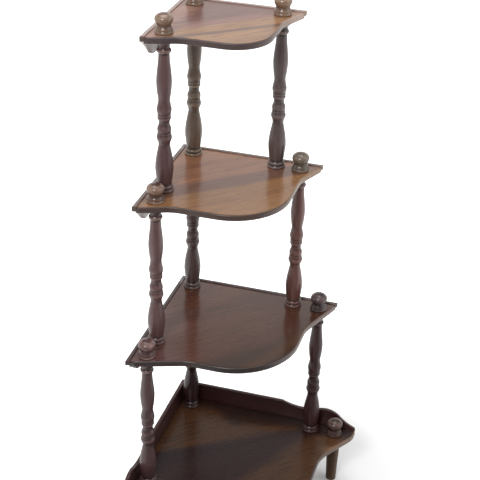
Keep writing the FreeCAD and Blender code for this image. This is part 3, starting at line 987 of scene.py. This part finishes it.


# Stains of the shelves, each a colour and its share, from the lowest up; the bottom shelf's also hold painted
# shade and reflection of the right gallery

def top_stains(finish):
    """Golden in front with one thin dark streak, greyer at the corner, paler along the left wall."""
    back = behind(finish, middle=0.046, slope=-0.03, soft=0.014, waver=0.012)
    streak = belt(finish, middle=0.009, slope=-0.1, half_width=0.003, soft=0.006, waver=0.006)
    corner = behind(finish, middle=0.075, slope=0.1, soft=0.06, waver=0.05)
    left_wall = beside_wall(finish, "left", width=0.025, soft=0.03)
    return [
        (colour(156, 118, 84), 1.0 - back),
        (colour(100, 78, 66), streak * 0.8),
        (colour(86, 66, 68), corner * 0.4),
        (colour(168, 130, 114), left_wall * 0.75),
    ]


def second_stains(finish):
    """Golden in front, and a broad purple streak from post to post."""
    back = behind(finish, middle=0.03, slope=-0.05, soft=0.02, waver=0.012)
    streak = belt(finish, middle=0.026, slope=-0.07, half_width=0.013, soft=0.012, waver=0.014)
    return [(colour(148, 107, 70), 1.0 - back), (colour(108, 77, 66), streak * 0.85)]


def third_stains(finish):
    """Greyer on the left, browner on the right, olive in front with a faint golden streak."""
    left = 1.0 - rightwards(finish, start=-0.11, soft=0.07)
    back = behind(finish, middle=0.0, slope=-0.1, soft=0.05, waver=0.03)
    left_end = 1.0 - rightwards(finish, start=-0.165, soft=0.06)
    right = rightwards(finish, start=0.03, soft=0.12)
    front = 1.0 - behind(finish, middle=-0.075, slope=0.1, soft=0.07, waver=0.06)
    streak = belt(finish, middle=-0.13, slope=0.4, half_width=0.004, soft=0.02, waver=0.05)
    return [
        (colour(112, 78, 72), left * back),
        (colour(98, 68, 65), left_end),
        (colour(68, 41, 27), right * 0.7),
        (colour(56, 35, 22), front),
        (colour(104, 68, 34), streak * 0.3),
    ]


def bottom_stains(finish):
    """Golden patches behind, in front and on the right ear; a dark streak on the right and a nearly
    black band along the right wall are painted reflection and shade of the right gallery.
    """
    back = behind(finish, middle=0.02, slope=-0.2, soft=0.03, waver=0.05)
    front = 1.0 - behind(finish, middle=-0.095, slope=0.3, soft=0.03, waver=0.05)
    # where the painted reflection of the right gallery lies
    streak = belt(finish, middle=0.115, slope=-0.55, half_width=0.012, soft=0.03, waver=0.06)
    right = rightwards(finish, start=0.025, soft=0.03)
    ear = rightwards(finish, start=0.17, soft=0.04)
    ear_start = rightwards(finish, start=0.155, soft=0.03)
    ear_front = 1.0 - behind(finish, middle=-0.09, slope=0.0, soft=0.03, waver=0.02)
    # where the painted shade and reflection of the right gallery lie, along the wall and on the ear
    wall = beside_wall(finish, "right", width=0.016, soft=0.035)
    ear_gallery_shade = beside_wall(finish, "right", width=0.034, soft=0.022)
    wall_end = rightwards(finish, start=0.15, soft=0.04)
    return [
        (colour(86, 54, 28), back * 0.85),
        (colour(86, 56, 30), front * 0.75),
        # painted reflection of the right gallery
        (colour(26, 10, 9), streak * right * 0.7),
        (colour(92, 60, 38), ear),
        (colour(142, 102, 70), ear_start * ear_front),
        # painted shade and reflection of the right gallery, along the wall and on the ear
        (colour(28, 11, 9), wall * 0.8),
        (colour(30, 14, 12), ear_gallery_shade * wall_end * 0.75),
    ]


shelf_looks = {
    "top": look(
        (84, 56, 52), (126, 92, 82), (138, 100, 87),
        edge_tones=tones((50, 43, 48), (182, 160, 148)), stains=top_stains,
        slant=0.05, shift=(0.3, 0.11, 0.0), rough=0.24, coat=0.15, rubbed_from=0.0,
    ),
    "second": look(
        (94, 58, 44), (148, 102, 76), (158, 110, 80),
        edge_tones=tones((48, 37, 39), (146, 120, 96)), stains=second_stains,
        slant=0.03, shift=(1.3, 0.42, 0.0), coat=0.35, rubbed_from=0.0,
    ),
    "third": look(
        (54, 31, 24), (88, 51, 40), (98, 60, 44),
        edge_tones=tones((36, 28, 28), (100, 80, 72)), stains=third_stains,
        slant=0.06, shift=(2.6, 0.27, 0.0), rough=0.16, coat=0.62, rubbed_from=-0.02,
    ),
    "bottom": look(
        (26, 10, 8), (38, 16, 18), (46, 22, 20),
        edge_tones=tones((18, 11, 10), (114, 88, 68)), stains=bottom_stains,
        slant=0.12, shift=(4.1, 0.75, 0.0), coat=0.35, rubbed_from=0.08,
    ),
}

# Rails: the wood, the painted highlight on its lip above the shelf, and its two end tones, the right one
# lighter with painted light from the right
rail_looks = {
    "top": look(
        (70, 50, 46), (104, 78, 70), (118, 88, 76), lip=colour(158, 136, 126),
        ends={"left": colour(84, 70, 68), "right": colour(142, 122, 108)},
    ),
    "second": look(
        (66, 46, 38), (104, 76, 58), (118, 88, 64), lip=colour(116, 98, 90),
        ends={"left": colour(80, 66, 58), "right": colour(124, 100, 84)},
    ),
    "third": look(
        (44, 24, 20), (70, 42, 36), (82, 50, 40), lip=colour(82, 68, 66),
        ends={"left": colour(62, 50, 50), "right": colour(84, 62, 56)},
    ),
}

gallery_woods = {
    "left": tones((37, 19, 18), (61, 33, 31), (79, 44, 41)),
    "right": tones((26, 6, 5), (48, 13, 11), (66, 23, 17)),
}

turning_looks = {
    "red_turning": look((58, 37, 38), (89, 64, 64), (102, 74, 72), (128, 104, 98), coat=0.4),
    "grey_turning": look((57, 46, 46), (84, 70, 69), (94, 79, 76), (140, 122, 114), shift=(5.0, 4.0, 0.0)),
    "rust_turning": look((60, 35, 31), (88, 57, 52), (104, 68, 61), (134, 106, 96), shift=(7.0, 2.0, 0.0)),
    "olive_turning": look((62, 51, 46), (98, 82, 73), (112, 94, 80), (174, 148, 118), shift=(1.0, 2.0, 0.0)),
    "brown_turning": look((46, 33, 31), (72, 55, 52), (86, 68, 64), (130, 110, 102), shift=(2.0, 8.0, 0.0)),
    "dark_turning": look((30, 16, 17), (52, 31, 31), (66, 42, 41), (100, 76, 72), shift=(3.0, 1.0, 0.0)),
    "wine_turning": look(
        (36, 17, 18), (68, 41, 42), (80, 51, 52), (104, 78, 76), shift=(3.0, 5.0, 0.0),
        coat=0.25,
    ),
    "copper_finial": look(
        (50, 31, 27), (82, 55, 46), (118, 86, 70), (156, 128, 110), shift=(9.0, 5.0, 0.0),
        rough=0.26, coat=0.6, hollows=0.5,
    ),
    "golden_finial": look(
        (66, 48, 40), (104, 80, 66), (130, 102, 82), (144, 121, 102), shift=(4.0, 7.0, 0.0),
        rough=0.28, coat=0.6, hollows=0.38,
    ),
    "grey_finial": look(
        (58, 50, 42), (92, 79, 69), (114, 98, 84), (130, 115, 101), shift=(3.0, 9.0, 0.0),
        rough=0.28, hollows=0.3,
    ),
    "red_finial": look(
        (46, 29, 29), (80, 54, 52), (102, 73, 69), (140, 111, 104), shift=(6.0, 3.0, 0.0),
        rough=0.28, hollows=0.32,
    ),
    "mauve_finial": look(
        (38, 27, 28), (62, 48, 49), (78, 62, 62), (94, 76, 76), shift=(8.0, 1.0, 0.0),
        rough=0.28, coat=0.4, hollows=0.25,
    ),
    "russet_finial": look(
        (32, 19, 17), (54, 35, 31), (76, 52, 45), (94, 72, 64), shift=(2.0, 5.0, 0.0),
        rough=0.28, coat=0.4, hollows=0.5,
    ),
    "leg": look(
        (40, 26, 16), (66, 44, 26), (80, 54, 32), (96, 72, 50), shift=(2.0, 6.0, 0.0),
        rough=0.4, coat=0.05,
    ),
}

# The usual look of each kind of turned piece, and the pieces that have another
usual_looks = {"post": "red_turning", "finial": "golden_finial", "leg": "leg"}
special_looks = {
    "top_tier_back_post": "olive_turning", "top_tier_right_post": "grey_turning",
    "second_tier_back_post": "brown_turning", "second_tier_right_post": "rust_turning",
    "third_tier_back_post": "dark_turning", "third_tier_right_post": "wine_turning",
    "second_left_finial": "copper_finial", "second_right_finial": "grey_finial",
    "third_left_finial": "red_finial", "third_right_finial": "mauve_finial",
    "bottom_left_finial": "russet_finial", "bottom_right_finial": "russet_finial",
}


def grain_along(side):
    """The slant of a grain that runs along a wall."""
    return WALL_SLANT if side == "right" else -WALL_SLANT


def rail_finish(tier, side, wood, lip, ends):
    """The shelf's stain with the grain along the rail; the lip above the shelf is lighter with a
    painted highlight, and the end tone of the right rail is lighter with painted light from the right.
    """
    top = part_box(tier + "_shelf")[1].z

    def lip_stain(finish):
        # painted highlight on the part of the rail above the shelf
        return [(lip, finish.axes(finish.place())[2].between(top - 0.0006, top))]

    name = tier + "_" + side + "_rail_stain"
    # the end tone of the side, lighter on the right with painted light from the right
    return board_finish(name, wood, (ends[side], ends[side]), lip_stain, grain_along(side))


def gallery_finish(side, wood):
    """Deep red brown, with the grain along the gallery and little shine."""
    return board_finish(
        side + "_gallery_stain", wood, tones((24, 14, 13), (80, 60, 48)),
        slant=grain_along(side), shift=(6.2, 0.6, 0.1), rough=0.4, coat=0.1, rubbed_from=0.2,
    )


# The pieces

def turned_outline(node, kind):
    """The outline of a turned piece of a kind, as long as its CAD node."""
    if kind == "finial":
        return finial_outline()
    low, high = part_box(node)
    length = (high.z - low.z) / MM
    return post_outline(length) if kind == "post" else leg_outline(length)


for index, tier in enumerate(TIERS):
    shelf_piece(index, board_finish(tier + "_board_stain", **shelf_looks[tier]))
for index, (tier, settings) in enumerate(rail_looks.items()):
    rail_pieces(index, {side: rail_finish(tier, side, **settings) for side in SIDES})
gallery_pieces({side: gallery_finish(side, wood) for side, wood in gallery_woods.items()})

turning_stains = {
    name: turned_finish(name + "_stain", **settings) for name, settings in turning_looks.items()
}
steel = steel_finish()
for node, cad_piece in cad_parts.items():
    kind = node.split("_")[-1]
    if kind in usual_looks:
        stain = turning_stains[special_looks.get(node, usual_looks[kind])]
        turned_piece(node, turned_outline(node, kind), stain)
    elif kind in ("screws", "pins"):
        cad_piece.data.materials.clear()
        cad_piece.data.materials.append(steel)


# Floor, light and camera

def stage_floor():
    """A wide pale floor that turns white for the camera where no shadow falls.

    Its glow grows with the distance from the object. Reflections see half of it, and a dim floor on
    the camera's side.
    """
    mesh = bpy.data.meshes.new("floor")
    reach = FLOOR_REACH
    mesh.from_pydata([(-reach, -reach, 0), (reach, -reach, 0), (reach, reach, 0), (-reach, reach, 0)], [],
                     [(0, 1, 2, 3)])
    floor = bpy.data.objects.new("floor", mesh)
    bpy.context.scene.collection.objects.link(floor)
    finish = painted("pale_floor")
    camera_ray = finish.ray("Camera")
    glossy_ray = finish.ray("Glossy")
    x, y, z = finish.axes(finish.place(shift=(-GLOW_CENTRE[0], -GLOW_CENTRE[1], 0.0)))
    away = (x * x + y * y) ** 0.5
    dim_side = ((x * DIM_SIDE[0] + y * DIM_SIDE[1]) / away).between(*DIM_FADE)
    reflected = away.between(*GLOW_REFLECTED) * (1.0 - dim_side) * 0.5
    share = camera_ray * (away.between(*GLOW_SEEN) * 0.9 + 0.04) + glossy_ray * reflected
    cloth = finish.blend(glossy_ray * dim_side, (0.82, 0.82, 0.82), (0.2, 0.2, 0.2))
    glow = finish.blend(share, BLACK, WHITE)
    finish.surface(Base_Color=cloth, Roughness=0.7, Emission_Color=glow, Emission_Strength=1.0)
    mesh.materials.append(finish.owner)


def soft_light(name, place, aim, size, power):
    """A square lamp at a place, turned to an aim."""
    lamp = bpy.data.lights.new(name, "AREA")
    lamp.shape = "SQUARE"
    lamp.size = size
    lamp.energy = power
    light = bpy.data.objects.new(name, lamp)
    light.location = place
    light.rotation_euler = (Vector(aim) - Vector(place)).to_track_quat("-Z", "Y").to_euler()
    bpy.context.scene.collection.objects.link(light)


def white_surroundings():
    """White all round for the camera, and a plain level for the light that the surroundings give.

    Reflections see the white backdrop behind the object up to its upper edge, and a dimmer room
    above it and in front.
    """
    world = bpy.data.worlds.new("white_surroundings")
    bpy.context.scene.world = world
    sky = Finish(world, "Background")
    x, y, z = sky.axes(sky.place())
    backdrop = z.between(*BACKDROP_TOP) * y.between(*BACKDROP_FRONT)
    ceiling = z.between(*CEILING) * 0.7
    room = sky.blend(ceiling, (0.2, 0.2, 0.2), (0.9, 0.9, 0.9))
    reflected = sky.blend(backdrop, room, WHITE)
    seen = sky.blend(sky.ray("Glossy"), deeper(WHITE, AROUND_LEVEL), reflected)
    seen = sky.blend((sky.ray("Camera") + sky.ray("Transmission")).clipped(), seen, WHITE)
    sky.surface(Color=seen, Strength=1.0)


def photo_camera():
    """The camera at the photograph's place, turned by its yaw, downward pitch and roll."""
    yaw, pitch, roll = (math.radians(v) for v in (CAMERA_YAW, CAMERA_PITCH, CAMERA_ROLL))
    shelf_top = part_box("bottom_shelf")[1].z
    x, y, z = CAMERA_PLACE
    place = Vector((x, CORNER * MM + y, shelf_top + z))
    ahead = Vector((math.sin(yaw) * math.cos(pitch), math.cos(yaw) * math.cos(pitch), -math.sin(pitch)))
    level = Vector((math.cos(yaw), -math.sin(yaw), 0.0))
    upright = level.cross(ahead)
    right = level * math.cos(roll) + upright * math.sin(roll)
    above = upright * math.cos(roll) - level * math.sin(roll)
    data = bpy.data.cameras.new("photo_camera")
    data.sensor_width = FILM_WIDTH
    data.lens = FOCAL_PIXELS / IMAGE_PIXELS * FILM_WIDTH
    camera = bpy.data.objects.new("photo_camera", data)
    camera.matrix_world = Matrix((right, above, -ahead)).transposed().to_4x4()
    camera.location = place
    bpy.context.scene.collection.objects.link(camera)
    bpy.context.scene.camera = camera


stage_floor()
soft_light("key_light", place=(-1.9, -1.7, 2.6), aim=(0.0, 0.0, 0.5), size=1.0, power=50.0)
soft_light("fill_light", place=(2.2, -1.6, 1.8), aim=(0.0, 0.0, 0.5), size=2.6, power=26.0)
soft_light("overhead_light", place=(0.1, 0.3, 3.0), aim=(0.0, 0.0, 0.6), size=1.6, power=24.0)
white_surroundings()
photo_camera()
bpy.context.scene.view_settings.view_transform = "Standard"
